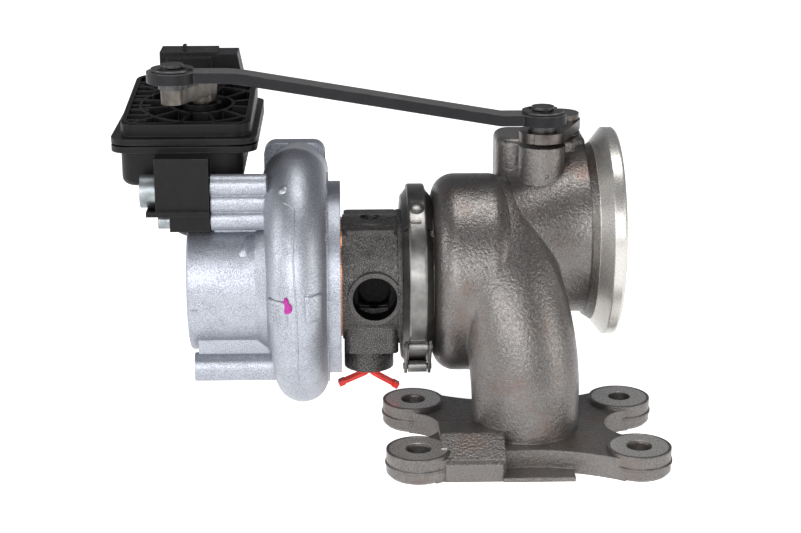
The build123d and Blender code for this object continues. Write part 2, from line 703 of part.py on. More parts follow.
def clamp_nut():
    nut = extrude(RegularPolygon(4.0, 6, major_radius=False), 5.0)
    nut = Pos(VBAND_X, SHAFT_Y + 23.4, SHAFT_Z + LOOP_R) * Rot(90, 0, 0) * nut
    return turned_back(nut - along_y(2.0, 0, 80, VBAND_X, SHAFT_Z + LOOP_R), BOLT_TURN)


def clamp_hinge():
    """Link that joins the lower ends of both bands: two pins and a plate on each side."""
    link = clamp_cross(1.25, 5.6, -HINGE_SIDE, HINGE_R) + clamp_cross(1.25, 5.6, HINGE_SIDE, HINGE_R)
    for side in (-4.6, 4.6):
        link += Pos(VBAND_X + side, SHAFT_Y, SHAFT_Z + HINGE_R + 0.4) * Box(1.2, 2 * HINGE_SIDE + 4.0, 3.4)
    return turned_back(link, HINGE_TURN)


# ---------------------------------------------------------------- compressor housing
def volute(inset):
    """The compressor scroll: its outside, or its passage by an inset."""
    faces = []
    steps = 14
    for step in range(steps):
        share = step / (steps - 1)
        turn = math.radians(40 + 320 * share)
        radius = 8.0 + 4.7 * share
        centre = 47.0 + 6.0 * share - radius
        y = SHAFT_Y + centre * math.sin(turn)
        z = SHAFT_Z + centre * math.cos(turn)
        plane = Plane(
            (-75.9 - radius, y, z), x_dir=(1, 0, 0), z_dir=(0, math.cos(turn), -math.sin(turn))
        )
        faces.append(plane * Circle(radius - inset))
    return loft(faces)


def duct(radii, y0, y1):
    """The outlet duct, falling and widening slightly from the scroll's end to its flange."""
    faces = []
    for radius, y in zip(radii, (y0, y1)):
        drop = (y - SHAFT_Y) * DUCT_FALL
        plane = Plane((DUCT_X, y, DUCT_Z - drop), x_dir=(1, 0, 0), z_dir=(0, 1, 0))
        faces.append(plane * Circle(radius))
    return loft(faces)


def compressor_outside():
    body = turned(
        [
            (INLET_X, 0), (INLET_X, 27.9), (INLET_X + 0.6, 28.5), (-104.0, 28.5), (-99.5, 31.0),
            (-96.0, 39.0),
            (-92.0, 42.0), (-75.6, 42.0), (-75.6, SPIGOT_R), (BEARING_FACE_X, SPIGOT_R), (BEARING_FACE_X, 0),
        ]
    )
    body += volute(0.0)
    body += duct((12.0, 12.4), SHAFT_Y - 1, OUTLET_FLANGE_Y - 2)
    plate = block((DUCT_X - 14.3, DUCT_X + 11.3), (OUTLET_FLANGE_Y - 8, OUTLET_FLANGE_Y), (66.5, 104.9))
    body += fillet(plate.edges().filter_by(Axis.Y), 5.0)
    mount = block((-119.8, -98.0), (18.0, 44.0), (80.0, 100.0))
    body += fillet(mount.edges().filter_by(Axis.X), 4.0)
    body += block((-120.5, -99.0), (15.0, 22.7), (86.0, 104.0))
    for z in (89.4, 96.2, 102.6):
        body += along_x(4.5, -120.5, -99.0, 16.0, z)
    body += along_x(5.7, INLET_X + 2.0, -96.0, 14.0, 29.5)
    return body + block((-127.0, -96.0), (13.0, 26.0), (29.5, 42.0))


def compressor_housing():
    body = compressor_outside()
    body -= turned(
        [
            (INLET_X - 1, 0), (INLET_X - 1, 25.4), (INLET_X + 1.2, 24.4), (-113.0, 24.4), (-104.0, 17.9),
            (-91.0, 17.9), (-86.0, 20.2), (-82.0, 23.9), (-82.0, 39.0), (-78.4, 39.0), (-78.4, 36.0),
            (-73.5, 36.0), (-73.5, 37.3),
            (-71.9, 37.3), (-71.9, 36.0), (-70.0, 36.0), (-70.0, 0),
        ]
    )
    body -= volute(3.0)
    body -= duct((9.2, 9.5), SHAFT_Y - 2, OUTLET_FLANGE_Y + 1)
    for x, z in OUTLET_SCREWS:
        body -= along_y(2.5, OUTLET_FLANGE_Y - 7, OUTLET_FLANGE_Y + 1, x, z)
    for y, z, radius in ACTUATOR_SCREWS:
        body -= along_x(radius, -125, -104.0, y, z)
    return body - along_x(2.1, INLET_X - 5, -112.0, 14.0, 29.5)


# ---------------------------------------------------------------- actuator
def footprint(grow, z0, z1, corner):
    """The actuator body's rounded rectangle, grown on every side."""
    x = (BODY_X[0] - grow, BODY_X[1] + grow)
    y = (BODY_Y[0] - grow, BODY_Y[1] + grow)
    return block(x, y, (z0, z1), corner)


def actuator_outside():
    body = footprint(0.0, FLOOR_Z, RIM_Z, 7.0)
    body = fillet(body.edges().group_by(Axis.Z)[0], 3.0)
    rim = block(RIM_X, RIM_Y, (RIM_Z - 2.4, RIM_Z), 7.0)
    slab = block((-141.4, -120.9), (10.0, 26.0), (92.2, RIM_Z - 2.4))
    base = block((-145.0, -120.9), (8.5, 22.0), (92.2, 94.1))
    ear = block((-136.4, -120.9), (12.4, 19.8), (85.2, 92.3))
    motor = upright(15.0, 66.0, FLOOR_Z + 3, MOTOR_XY)
    motor = fillet(motor.edges().filter_by(GeomType.CIRCLE).group_by(Axis.Z)[0], 5.0)
    return body + rim + slab + base + ear + motor


def actuator_housing():
    body = actuator_outside()
    body -= footprint(-2.6, FLOOR_Z + 2.6, RIM_Z + 1, 4.6)
    body += upright(7.5, FLOOR_Z + 1, 108.0, ACTUATOR_XY)
    body -= upright(5.5, FLOOR_Z + 1.6, 110.0, ACTUATOR_XY)
    body -= upright(11.6, 69.0, 110.0, MOTOR_XY)
    body += upright(3.0, FLOOR_Z + 1, 106.0, IDLER_XY)
    body -= upright(1.5, FLOOR_Z + 1.6, 110.0, IDLER_XY)
    for y, z, radius in ACTUATOR_SCREWS:
        body -= along_x(radius + 0.1, -150.0, -118.0, y, z)
    return body


def lid_top(y):
    """Height of the lid's top, which rises towards the back."""
    return LID_FRONT_Z + (y - LID_Y[0]) * LID_RISE


def under_lid(inset, base, drop):
    """A block in from the lid's sides whose top runs parallel to the lid's, lower by drop."""
    x0, x1 = LID_X[0] + inset, LID_X[1] - inset
    y0, y1 = LID_Y[0] + inset, LID_Y[1] - inset
    side = Polyline((y0, base), (y1, base), (y1, lid_top(y1) - drop), (y0, lid_top(y0) - drop), close=True)
    return Pos(x0, 0, 0) * extrude(make_face(Plane.YZ * side), x1 - x0)


def lid_ribs():
    """Two rings and twelve spokes round the shaft's tower, and short ribs along the left side."""
    low, high, thick = 114.0, 140.0, 1.1
    ribs = []
    for radius in (13.0, 25.0):
        ribs.append(upright_tube(radius, radius - thick, low, high, ACTUATOR_XY))
    spoke = Pos(29.0, 0, 0) * Box(34.0, thick, high - low)
    for heading in range(15, 375, 30):
        ribs.append(Pos(*ACTUATOR_XY, (low + high) / 2) * Rot(0, 0, heading) * spoke)
    for i in range(9):
        y = LID_Y[0] + 7.0 + i * 6.6
        ribs.append(block((-156.0, -146.0), (y, y + thick), (low, high)))
    return ribs[0] + ribs[1:]


def connector_block():
    """The plug's housing at the back of the lid, narrower at its top."""
    front = Polyline((-145.8, 119.8), (-109.4, 119.8), (-113.6, 141.2), (-145.8, 141.2), close=True)
    body = Pos(0, 106.0, 0) * extrude(make_face(Plane.XZ * front), 15.0)
    body -= block((-121.8, -108.0), (90.0, 107.0), (140.3, 142.0))
    body += block((-136.6, -135.2), (97.0, 102.0), (141.0, 142.8))
    return body + block((-143.0, -124.0), (89.6, 91.2), (134.0, 139.0))


def actuator_lid():
    shell = under_lid(0.0, RIM_Z + 2.4, 0.0)
    shell = fillet(shell.edges().filter_by(Axis.Z), 6.5)
    shell = fillet(shell.faces().sort_by(Axis.Z)[-1].edges(), 0.8)
    pockets = under_lid(2.2, 100.0, -20.0) - under_lid(0.0, 99.0, 5.5)
    ribs = lid_ribs() & (under_lid(1.2, 110.0, 0.4) - under_lid(0.0, 109.0, 6.2))
    lid = shell - fillet(pockets.edges().filter_by(Axis.Z), 4.3) + ribs
    lid += block(RIM_X, RIM_Y, (RIM_Z + 0.8, RIM_Z + 3.0), 7.0)
    lid -= under_lid(6.0, RIM_Z - 1, 7.6)
    lid += upright(7.5, 118.5, 127.6, ACTUATOR_XY) + connector_block()
    lid -= upright(5.2, 110.0, 126.0, ACTUATOR_XY)
    lid -= upright(4.2, 110.0, 130.0, ACTUATOR_XY)
    lid -= block((-143.0, -117.0), (94.0, 107.0), (123.0, 137.5))
    for pin in connector_pins():
        lid -= pin
    return lid


def lid_seal():
    return footprint(1.0, RIM_Z, RIM_Z + 0.8, 7.0) - footprint(-2.6, RIM_Z - 1, RIM_Z + 2, 4.6)


def connector_pins():
    pins = []
    for i in range(5):
        x = -139.6 + i * 4.8
        pins.append(block((x, x + 1.0), (92.6, 103.0), (129.5, 130.5)))
    return pins


def circuit_board():
    board = block((-148.0, -113.0), (77.0, 88.0), (118.4, 119.8))
    chip = block((-145.0, -137.0), (79.0, 86.0), (119.8, 120.6))
    return board + chip + block((-124.0, -116.0), (79.0, 86.0), (119.8, 120.8))


def output_bush():
    return upright_tube(5.5, 4.0 + RUNNING_GAP, FLOOR_Z + 1.6, 108.0, ACTUATOR_XY)


def upper_bush():
    return upright_tube(5.2, 4.0 + RUNNING_GAP, 118.5, 126.0, ACTUATOR_XY)


def output_shaft():
    return upright(4.0, FLOOR_Z + 2.0, 138.0, ACTUATOR_XY)


def sector_gear():
    """A fan of teeth as wide as the lever's swing needs, on a hub."""
    middle, half = IDLER_HEADING - 3 * 360.0 / SECTOR_TEETH, 47.0
    wheel = gear(SECTOR_TEETH, 112.6, 116.6, ACTUATOR_XY, middle, 86.5)
    corners = [polar(ACTUATOR_XY, 36.0, middle + turn) for turn in (-half, 0, half)]
    fan = make_face(Polyline(ACTUATOR_XY, *corners, close=True))
    wheel &= Pos(0, 0, 112.0) * extrude(fan, 6.0)
    hub = upright(7.0, 108.4, 118.1, ACTUATOR_XY)
    return wheel + hub - upright(4.0, 100, 130, ACTUATOR_XY)


def intermediate_gear():
    small = gear(SMALL_TEETH, 111.0, 117.0, IDLER_XY, IDLER_HEADING + 180.0 + 180.0 / SMALL_TEETH)
    large = gear(LARGE_TEETH, 107.2, 111.0, IDLER_XY, MOTOR_HEADING)
    return small + large - upright(1.5 + RUNNING_GAP, 100, 130, IDLER_XY)


def intermediate_pin():
    return upright(1.5, FLOOR_Z + 1.6, 118.2, IDLER_XY)


def motor_pinion():
    wheel = gear(PINION_TEETH, 107.0, 111.4, MOTOR_XY, MOTOR_HEADING + 180.0 + 180.0 / PINION_TEETH)
    return wheel - upright(1.2, 100, 130, MOTOR_XY)


def motor_shaft():
    return upright(1.2, 71.0, 112.0, MOTOR_XY) + upright(7.0, 74.0, 96.0, MOTOR_XY)


def motor_can():
    can = upright(11.5, 69.2, 104.0, MOTOR_XY) - upright(10.2, 70.6, 102.6, MOTOR_XY)
    return can - upright(2.6, 60.0, 110.0, MOTOR_XY)


def motor_bushes():
    return [
        upright_tube(2.6, 1.2 + RUNNING_GAP, 69.2, 70.6, MOTOR_XY),
        upright_tube(2.6, 1.2 + RUNNING_GAP, 102.6, 104.0, MOTOR_XY),
    ]


def motor_magnets():
    ring = upright_tube(10.2, 7.9, 76.0, 94.0, MOTOR_XY)
    return ring - Pos(MOTOR_XY[0], MOTOR_XY[1], 85) * Box(40, 5, 40)


def actuator_lever():
    """Thick crank on the output shaft; its hub reaches lower than the pin end."""
    low = ACTUATOR_LEVER_Z
    crank = capsule(ACTUATOR_PIN_XY, ACTUATOR_XY, 4.7, 6.2, low, low + 6.0)
    hub = upright(6.2, low - 3.0, low, ACTUATOR_XY)
    return crank + hub - upright(4.0, 120, 140, ACTUATOR_XY) - upright(PIN_R, 120, 145, ACTUATOR_PIN_XY)


def actuator_screws():
    (y_high, z_high, r_high), (y_low, z_low, r_low) = ACTUATOR_SCREWS
    return [
        screw_x(6.4, 6.0, r_high, -141.4, -105.0, y_high, z_high, 5.0),
        screw_x(3.2, 4.6, r_low, -136.4, -105.0, y_low, z_low, 3.0),
    ]


def transport_cap():
    """Soft plug for the oil drain, with two looped pull tabs."""
    plug = upright(6.3, 21.3, 27.0, (-59.7, SHAFT_Y)) - upright(5.0, 22.6, 30.0, (-59.7, SHAFT_Y))
    plug += upright(7.6, 21.3, 22.4, (-59.7, SHAFT_Y))
    tab = extrude(SlotOverall(12.0, 4.4) - SlotOverall(9.2, 1.8), 1.4)
    tab += Pos(5.6, 0, 0.7) * Box(2.6, 4.0, 2.2)
    for heading, drop in ((180, 24), (0, 30)):
        place = Pos(-59.7, SHAFT_Y - 5.0, 20.9) * Rot(0, 0, heading) * Rot(0, drop, 0) * Pos(6.2, 0, 0)
        plug += place * tab
    return plug


BUILDERS = {
    "turbine_housing": turbine_housing,
    "wastegate_bush": wastegate_bush,
    "wastegate_spindle": wastegate_spindle,
    "wastegate_arm": wastegate_arm,
    "wastegate_flap": wastegate_flap,
    "flap_washer": flap_washer,
    "wastegate_lever": wastegate_lever,
    "valve_pin": valve_pin,
    "valve_pin_clip": lambda: e_clip(ROD_LOW_Z + ROD_THICK + 0.4, VALVE_PIN_XY, 25),
    "link_rod": link_rod,
    "actuator_lever": actuator_lever,
    "actuator_pin": actuator_pin,
    "actuator_pin_clip": lambda: e_clip(ROD_HIGH_Z + ROD_THICK + 0.4, ACTUATOR_PIN_XY, -20),
    "rotor_shaft": rotor_shaft,
    "turbine_wheel": turbine_wheel,
    "compressor_wheel": compressor_wheel,
    "shaft_nut": shaft_nut,
    "thrust_washer": thrust_washer,
    "oil_flinger": oil_flinger,
    "thrust_bearing": thrust_bearing,
    "compressor_seal_ring": compressor_seal_ring,
    "turbine_seal_ring": turbine_seal_ring,
    "bearing_housing": bearing_housing,
    "journal_bearing": journal_bearing,
    "bearing_pin": bearing_pin,
    "backplate": backplate,
    "backplate_screws": backplate_screws,
    "backplate_o_ring": backplate_o_ring,
    "backplate_gasket": backplate_gasket,
    "retaining_ring": retaining_ring,
    "heat_shield": heat_shield,
    "clamp_segments": clamp_segments,
    "clamp_strap_front": clamp_strap_front,
    "clamp_strap_back": clamp_strap_back,
    "clamp_trunnions": clamp_trunnions,
    "clamp_bolt": clamp_bolt,
    "clamp_nut": clamp_nut,
    "clamp_hinge": clamp_hinge,
    "compressor_housing": compressor_housing,
    "actuator_housing": actuator_housing,
    "actuator_lid": actuator_lid,
    "lid_seal": lid_seal,
    "connector_pins": connector_pins,
    "circuit_board": circuit_board,
    "lower_bush": output_bush,
    "upper_bush": upper_bush,
    "output_shaft": output_shaft,
    "sector_gear": sector_gear,
    "intermediate_gear": intermediate_gear,
    "intermediate_pin": intermediate_pin,
    "motor_pinion": motor_pinion,
    "motor_shaft": motor_shaft,
    "motor_can": motor_can,
    "motor_bushes": motor_bushes,
    "motor_magnets": motor_magnets,
    "actuator_screws": actuator_screws,
    "transport_cap": transport_cap,
}


def gathered(shape):
    """One compound for a node, whether its builder gives a solid or a list of solids."""
    if isinstance(shape, (list, ShapeList)):
        return Compound(children=list(shape))
    return shape


os.makedirs("parts", exist_ok=True)
for node, builder in BUILDERS.items():
    export_step(gathered(builder()), f"parts/{node}.step")
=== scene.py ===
"""Looks of the turbocharger: materials, surface detail, lights and camera around the CAD frame.

Lengths in the helpers are millimetres in the part's own frame: X along the rotor shaft from the
compressor to the turbine, Y away from the viewer, Z up from the exhaust flange's gasket face.
"""

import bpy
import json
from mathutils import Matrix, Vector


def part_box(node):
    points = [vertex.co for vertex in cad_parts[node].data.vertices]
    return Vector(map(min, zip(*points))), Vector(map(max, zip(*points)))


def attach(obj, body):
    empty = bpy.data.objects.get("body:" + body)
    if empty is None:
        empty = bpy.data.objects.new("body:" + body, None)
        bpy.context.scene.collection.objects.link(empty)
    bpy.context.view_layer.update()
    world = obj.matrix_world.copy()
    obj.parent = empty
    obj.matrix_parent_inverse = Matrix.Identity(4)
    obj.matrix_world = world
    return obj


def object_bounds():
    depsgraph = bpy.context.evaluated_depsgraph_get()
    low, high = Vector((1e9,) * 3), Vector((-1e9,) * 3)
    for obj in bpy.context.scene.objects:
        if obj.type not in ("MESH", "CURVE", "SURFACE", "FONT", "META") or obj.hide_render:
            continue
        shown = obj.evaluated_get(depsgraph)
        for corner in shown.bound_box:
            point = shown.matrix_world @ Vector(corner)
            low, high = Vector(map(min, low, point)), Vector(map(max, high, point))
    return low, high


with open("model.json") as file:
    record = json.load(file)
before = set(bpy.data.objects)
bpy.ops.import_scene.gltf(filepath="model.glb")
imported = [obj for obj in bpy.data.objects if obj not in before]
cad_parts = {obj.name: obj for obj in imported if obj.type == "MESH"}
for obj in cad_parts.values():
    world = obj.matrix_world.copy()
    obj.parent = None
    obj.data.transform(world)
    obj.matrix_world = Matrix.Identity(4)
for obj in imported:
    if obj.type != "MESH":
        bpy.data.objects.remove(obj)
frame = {"nodes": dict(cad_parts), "record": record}
cad_box = [list(corner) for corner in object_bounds()]

import json
import math

import bmesh
import bpy
from mathutils import Vector
from mathutils.bvhtree import BVHTree

MM = 0.001
NODES = frame["nodes"]
RECORD = frame["record"]
MOUNTS = {mount["name"]: mount for mount in RECORD["mounts"]}


def low(node):
    """Lowest corner of a CAD node, in millimetres."""
    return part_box(node)[0] / MM


def high(node):
    """Highest corner of a CAD node, in millimetres."""
    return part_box(node)[1] / MM


def middle(node):
    return (low(node) + high(node)) / 2


# The turbocharger's machined places, in millimetres.
SHAFT = middle("journal_bearing")
FLANGE_TOP = 10.2
SPOT_FACE_R = 10.9
RIM_WIDTH = 9.6
RIM_BOTTOM = 25.0
JOINT_FACE_X = -37.4

# The studio: places in metres, angles in degrees, the lens in millimetres, the glow as a strength.
FLOOR_HALF = 40.0
FLOOR_GLOW = 0.85
HORIZON = (0.36, 0.37, 0.39)
CEILING = (0.10, 0.10, 0.11)
CAMERA_PLACE = (-0.06931, -0.65088, 0.27330)
CAMERA_DOWN = 16.990
CAMERA_RIGHT = 1.879
CAMERA_LENS = 80.13


# ---------------------------------------------------------------- node materials
class Look:
    """A procedural material under construction. Sizes and depths are in millimetres."""

    def __init__(self, name, metallic=0.0, colour=(0.5, 0.5, 0.5), rough=0.5, ior=1.5):
        self.material = bpy.data.materials.new(name)
        self.material.use_nodes = True
        self.tree = self.material.node_tree
        self.shader = self.tree.nodes["Principled BSDF"]
        self.set("Metallic", metallic)
        self.set("Base Color", (*colour, 1))
        self.set("Roughness", rough)
        self.set("IOR", ior)
        self.material.diffuse_color = (*colour, 1)
        self.normal = None
        place = self.tree.nodes.new("ShaderNodeTexCoord")
        self.place = self.scaled(place.outputs["Object"], (1 / MM,) * 3)

    def set(self, socket, value):
        self.shader.inputs[socket].default_value = value
        return self

    def join(self, source, target):
        self.tree.links.new(source, target)

    def put(self, kind, values=(), **settings):
        """A new node with its settings, and its inputs set or linked by name or number."""
        made = self.tree.nodes.new(kind)
        for name, value in settings.items():
            setattr(made, name, value)
        for name, value in dict(values).items():
            if isinstance(value, bpy.types.NodeSocket):
                self.join(value, made.inputs[name])
            else:
                made.inputs[name].default_value = value
        return made

    def scaled(self, vector, factors):
        made = self.put("ShaderNodeVectorMath", {0: vector, 1: factors}, operation="MULTIPLY")
        return made.outputs[0]

    def maths(self, operation, first, second=0.0):
        """One arithmetic node on two numbers or sockets."""
        made = self.put("ShaderNodeMath", {0: first, 1: second}, operation=operation)
        return made.outputs[0]

    def axis(self, name):
        return self.put("ShaderNodeSeparateXYZ", {0: self.place}).outputs[name]

    def grain(self, size, detail=3.0, rough=0.55, warp=0.0, stretch=(1, 1, 1)):
        """Cloudy noise from 0 to 1 with features of about this size."""
        where = self.scaled(self.place, [factor / size for factor in stretch])
        made = self.put(
            "ShaderNodeTexNoise",
            {"Vector": where, "Scale": 1.0, "Detail": detail, "Roughness": rough, "Distortion": warp},
        )
        return made.outputs["Fac"]

    def cells(self, size, feature="F1"):
        """Distance inside cells of about this size."""
        where = self.scaled(self.place, (1 / size,) * 3)
        made = self.put(
            "ShaderNodeTexVoronoi",
            {"Vector": where, "Scale": 1.0, "Randomness": 1.0},
            feature=feature,
        )
        return made.outputs["Distance"]

    def spread(self, value, start, end, low_out=0.0, high_out=1.0, smooth=False):
        """Maps a value's range from start to end onto another range."""
        made = self.put(
            "ShaderNodeMapRange",
            {"Value": value, "From Min": start, "From Max": end, "To Min": low_out, "To Max": high_out},
            interpolation_type="SMOOTHSTEP" if smooth else "LINEAR",
        )
        return made.outputs["Result"]

    def blend(self, factor, first, second):
        """A colour between two colours or colour sockets."""
        ends = [end if isinstance(end, bpy.types.NodeSocket) else (*end, 1) for end in (first, second)]
        made = self.put("ShaderNodeMix", {0: factor, 6: ends[0], 7: ends[1]}, data_type="RGBA")
        return made.outputs[2]

    def between(self, factor, first, second):
        """A number between two numbers or sockets."""
        made = self.put("ShaderNodeMix", {0: factor, 2: first, 3: second}, data_type="FLOAT")
        return made.outputs[0]

    def relief(self, height, depth):
        """Adds a bump of this depth in millimetres, or of this depth times a mask."""
        values = {"Height": height, "Distance": depth * MM, "Strength": 1.0}
        if self.normal is not None:
            values["Normal"] = self.normal
        self.normal = self.put("ShaderNodeBump", values).outputs["Normal"]
        return self

    def soften(self, radius):
        """Rounds the CAD's sharp edges by this radius."""
        made = self.put("ShaderNodeBevel", {"Radius": radius * MM}, samples=4)
        self.normal = made.outputs["Normal"]
        return self

    def edge_wear_and_highlight(self, radius):
        """1 on outer and inner edges within this radius, else 0: the mask for rubbed edges and for the
        painted highlight on edges.
        """
        bevel = self.put("ShaderNodeBevel", {"Radius": radius * MM}, samples=4).outputs["Normal"]
        flat = self.put("ShaderNodeNewGeometry").outputs["Normal"]
        facing = self.put("ShaderNodeVectorMath", {0: bevel, 1: flat}, operation="DOT_PRODUCT")
        return self.spread(self.maths("SUBTRACT", 1.0, facing.outputs["Value"]), 0.02, 0.25)

    def window(self, value, start, end, edge=0.15):
        """1 between start and end, 0 outside."""
        above = self.spread(value, start - edge, start)
        below = self.spread(value, end, end + edge, 1.0, 0.0)
        return self.maths("MULTIPLY", above, below)

    def distance(self, centre, axis):
        """Distance in millimetres from a line through centre along an axis."""
        factors = [0.0 if name == axis else 1.0 for name in "XYZ"]
        offset = self.put("ShaderNodeVectorMath", {0: self.place, 1: tuple(centre)}, operation="SUBTRACT")
        across = self.scaled(offset.outputs[0], factors)
        return self.put("ShaderNodeVectorMath", {0: across}, operation="LENGTH").outputs["Value"]

    def facing_up(self):
        """1 on faces that look up, 0 on walls."""
        normal = self.put("ShaderNodeNewGeometry").outputs["Normal"]
        height = self.put("ShaderNodeSeparateXYZ", {0: normal}).outputs["Z"]
        return self.spread(height, 0.75, 0.95)

    def bolt_distance(self):
        """Distance in millimetres from the nearest of the exhaust flange's four bolt holes."""
        dims = MOUNTS["exhaust_flange"]["dims"]
        squares = []
        for axis, spacing in (("X", dims["spacing_x_mm"]), ("Y", dims["spacing_y_mm"])):
            apart = self.maths("SUBTRACT", self.maths("ABSOLUTE", self.axis(axis)), spacing / 2)
            squares.append(self.maths("MULTIPLY", apart, apart))
        return self.maths("SQRT", self.maths("ADD", *squares))

    def finish(self, colour, rough=None):
        """Links what was built to the shader and returns the material."""
        self.join(colour, self.shader.inputs["Base Color"])
        if rough is not None:
            self.join(rough, self.shader.inputs["Roughness"])
        if self.normal is not None:
            self.join(self.normal, self.shader.inputs["Normal"])
        return self.material


def cast_aluminium():
    look = Look("cast_aluminium", 0.92, (0.42, 0.44, 0.48), 0.45)
    patches = look.grain(9.0, 3.0)
    fine = look.grain(0.42, 2.0, 0.6)
    pits = look.spread(look.cells(1.6), 0.0, 0.28)
    colour = look.blend(look.spread(patches, 0.3, 0.7), (0.24, 0.25, 0.28), (0.33, 0.345, 0.38))
    colour = look.blend(look.spread(fine, 0.40, 0.68), colour, (0.50, 0.52, 0.57))
    rough = look.between(look.spread(patches, 0.3, 0.7), 0.56, 0.46)
    rough = look.between(look.spread(fine, 0.4, 0.65), rough, 0.38)
    look.soften(0.7)
    look.relief(look.grain(2.4, 2.0), 0.12).relief(fine, 0.08).relief(pits, 0.02)
    return look.finish(colour, rough)


def machined_aluminium():
    look = Look("machined_aluminium", 1.0, (0.74, 0.75, 0.77), 0.26)
    rings = look.grain(0.5, 2.0, 0.5, stretch=(6, 0.3, 0.3))
    stains = look.grain(6.0)
    colour = look.blend(look.spread(stains, 0.35, 0.7), (0.70, 0.71, 0.73), (0.80, 0.81, 0.83))
    rough = look.spread(rings, 0.3, 0.7, 0.18, 0.36)
    look.soften(0.25)
    look.relief(rings, 0.012)
    return look.finish(colour, rough)


def cast_steel():
    """Heat-resistant cast steel: orange-peel skin, with bare metal on every machined face."""
    look = Look("cast_steel", 0.8, (0.17, 0.15, 0.14), 0.45)
    patches = look.grain(14.0, 4.0)
    peel = look.grain(1.2, 1.5, 0.5, warp=0.3)
    fine = look.grain(0.5, 2.0)
    rusty = look.spread(look.grain(16.0, 3.0), 0.56, 0.72)
    rust_field = look.maths("MULTIPLY", rusty, look.spread(fine, 0.42, 0.6))
    colour = look.blend(look.spread(patches, 0.3, 0.7), (0.090, 0.083, 0.078), (0.145, 0.134, 0.125))
    colour = look.blend(look.spread(fine, 0.35, 0.75), colour, (0.22, 0.207, 0.198))
    colour = look.blend(look.maths("MULTIPLY", rust_field, 0.55), colour, (0.16, 0.055, 0.02))
    rough = look.spread(peel, 0.3, 0.7, 0.30, 0.46)

    height = look.axis("Z")
    spots = look.spread(look.bolt_distance(), SPOT_FACE_R, SPOT_FACE_R + 0.3, 1.0, 0.0)
    faced = look.maths("MULTIPLY", spots, look.window(height, FLANGE_TOP - 0.12, FLANGE_TOP + 0.4, 0.05))
    gasket = look.window(height, -1.0, 0.04, 0.03)
    outlet = MOUNTS["turbine_outlet_face"]["pos_m"][0] / MM
    rim = look.window(look.axis("X"), outlet - RIM_WIDTH, outlet + 1.0, 0.1)
    rim = look.maths("MULTIPLY", rim, look.spread(height, RIM_BOTTOM - 1.0, RIM_BOTTOM))
    shaft = look.distance(SHAFT, "X")
    joint = look.maths(
        "MULTIPLY",
        look.window(look.axis("X"), low("turbine_housing").x - 1.0, JOINT_FACE_X, 0.1),
        look.window(shaft, 20.0, 36.5),
    )
    flange_faces = look.maths("MAXIMUM", faced, gasket)
    machined = look.maths("MAXIMUM", flange_faces, look.maths("MAXIMUM", rim, joint))
    turned = look.grain(0.35, 2.0, 0.5)
    colour = look.blend(machined, colour, (0.56, 0.54, 0.51))
    rough = look.between(machined, rough, look.spread(turned, 0.3, 0.7, 0.22, 0.36))
    raw = look.maths("SUBTRACT", 1.0, machined)
    look.soften(0.9)
    look.relief(look.maths("MULTIPLY", peel, raw), 0.20)
    look.relief(look.maths("MULTIPLY", fine, raw), 0.06)
    look.relief(look.maths("MULTIPLY", turned, machined), 0.008)
    return look.finish(colour, rough)


def cast_iron_centre():
    """Dark iron casting with milled faces on the oil seat and the coolant ports, and painted shade deep in
    the front port's bore.
    """
    look = Look("cast_iron_centre", 0.75, (0.09, 0.083, 0.078), 0.5)
    patches = look.grain(7.0, 4.0)
    lumps = look.grain(1.3, 2.0, 0.6, warp=0.3)
    fine = look.grain(0.4, 2.0)
    colour = look.blend(look.spread(patches, 0.3, 0.7), (0.026, 0.025, 0.024), (0.075, 0.070, 0.066))
    colour = look.blend(look.spread(fine, 0.45, 0.70), colour, (0.22, 0.21, 0.20))
    rough = look.spread(lumps, 0.3, 0.7, 0.40, 0.6)
    front = low("bearing_housing").y
    back = high("bearing_housing").y
    top = high("bearing_housing").z
    depth = look.axis("Y")
    front_port = look.window(depth, front - 1, front + 3.2)
    ports = look.maths("MAXIMUM", front_port, look.window(depth, back - 1.0, back + 1))
    seat = look.window(look.axis("Z"), top - 0.7, top + 1)
    machined = look.maths("MAXIMUM", ports, seat)
    colour = look.blend(machined, colour, (0.25, 0.245, 0.25))
    # Painted shade: deep inside the front coolant port's bore the colour goes almost black.
    port = MOUNTS["coolant_port_front"]
    port_radius = port["dims"]["r_mm"]
    port_distance = look.distance(Vector(port["pos_m"]) / MM, "Y")
    bore = look.spread(port_distance, port_radius, port_radius + 0.2, 1.0, 0.0)
    painted_bore_shade = look.maths("MULTIPLY", bore, look.window(depth, front + 5.0, back - 5.0, 3.0))
    colour = look.blend(painted_bore_shade, colour, (0.006, 0.006, 0.007))
    rough = look.between(machined, rough, 0.27)
    raw = look.maths("SUBTRACT", 1.0, machined)
    look.soften(0.6)
    look.relief(look.maths("MULTIPLY", lumps, raw), 0.30)
    look.relief(look.maths("MULTIPLY", fine, raw), 0.10)
    return look.finish(colour, rough)


def stainless():
    look = Look("stainless", 1.0, (0.45, 0.43, 0.41), 0.3)
    brushed = look.grain(0.22, 2.0, 0.6, stretch=(1, 0.05, 0.05))
    stains = look.grain(5.0, 3.0)
    colour = look.blend(look.spread(stains, 0.35, 0.7), (0.155, 0.150, 0.143), (0.245, 0.237, 0.226))
    rough = look.spread(brushed, 0.3, 0.7, 0.30, 0.42)
    look.soften(0.8)
    look.relief(brushed, 0.004).relief(stains, 0.05)
    return look.finish(colour, rough)


